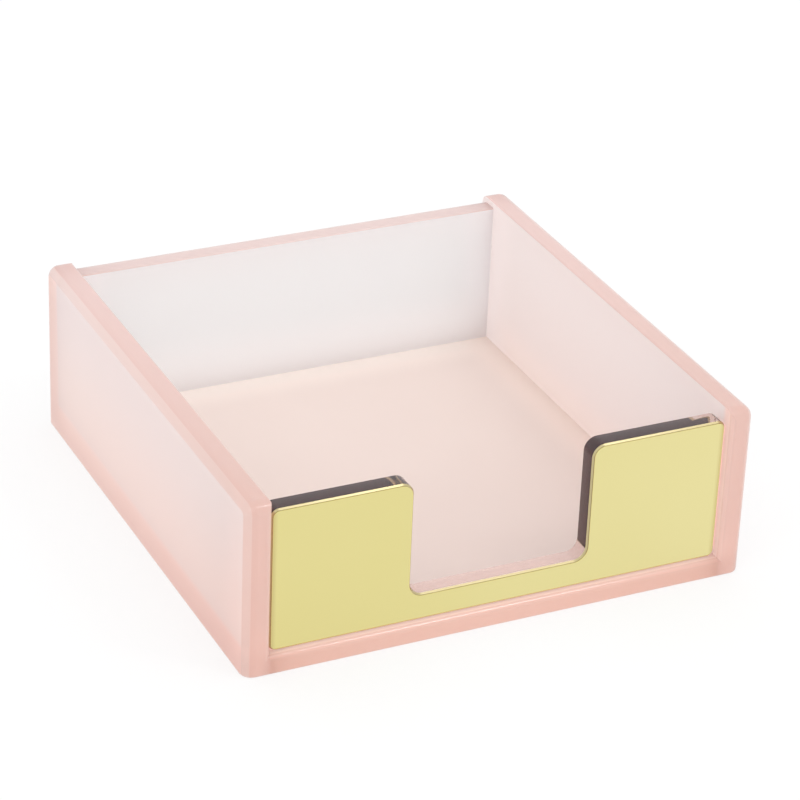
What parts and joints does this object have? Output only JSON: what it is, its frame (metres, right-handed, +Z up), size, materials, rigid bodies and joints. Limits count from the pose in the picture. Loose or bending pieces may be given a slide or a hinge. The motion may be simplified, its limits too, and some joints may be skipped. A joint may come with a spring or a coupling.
{
  "type": "memo tray",
  "caption": "Open square memo tray of frosted pink acrylic with a gold-faced, notched front plate for taking out a sheet of notepaper.",
  "frame": {"origin": "middle of the tray's footprint, in the plane that it stands on", "axes": "+X to the right as seen from the front, +Y from the notched front to the back, +Z up"},
  "size_m": [0.1, 0.102, 0.0346],
  "materials": {
    "pink_acrylic": "frosted translucent sheet with polished edges",
    "clear_acrylic": "clear, polished cut edges",
    "gold_mirror": "pale gold mirror"
  },
  "bodies": {
    "root": {"floor_panel": "pink_acrylic", "left_side_panel": "pink_acrylic", "right_side_panel": "pink_acrylic", "back_panel": "pink_acrylic", "front_plate": "clear_acrylic", "gold_mirror_face": "gold_mirror"}
  },
  "joints": []
}
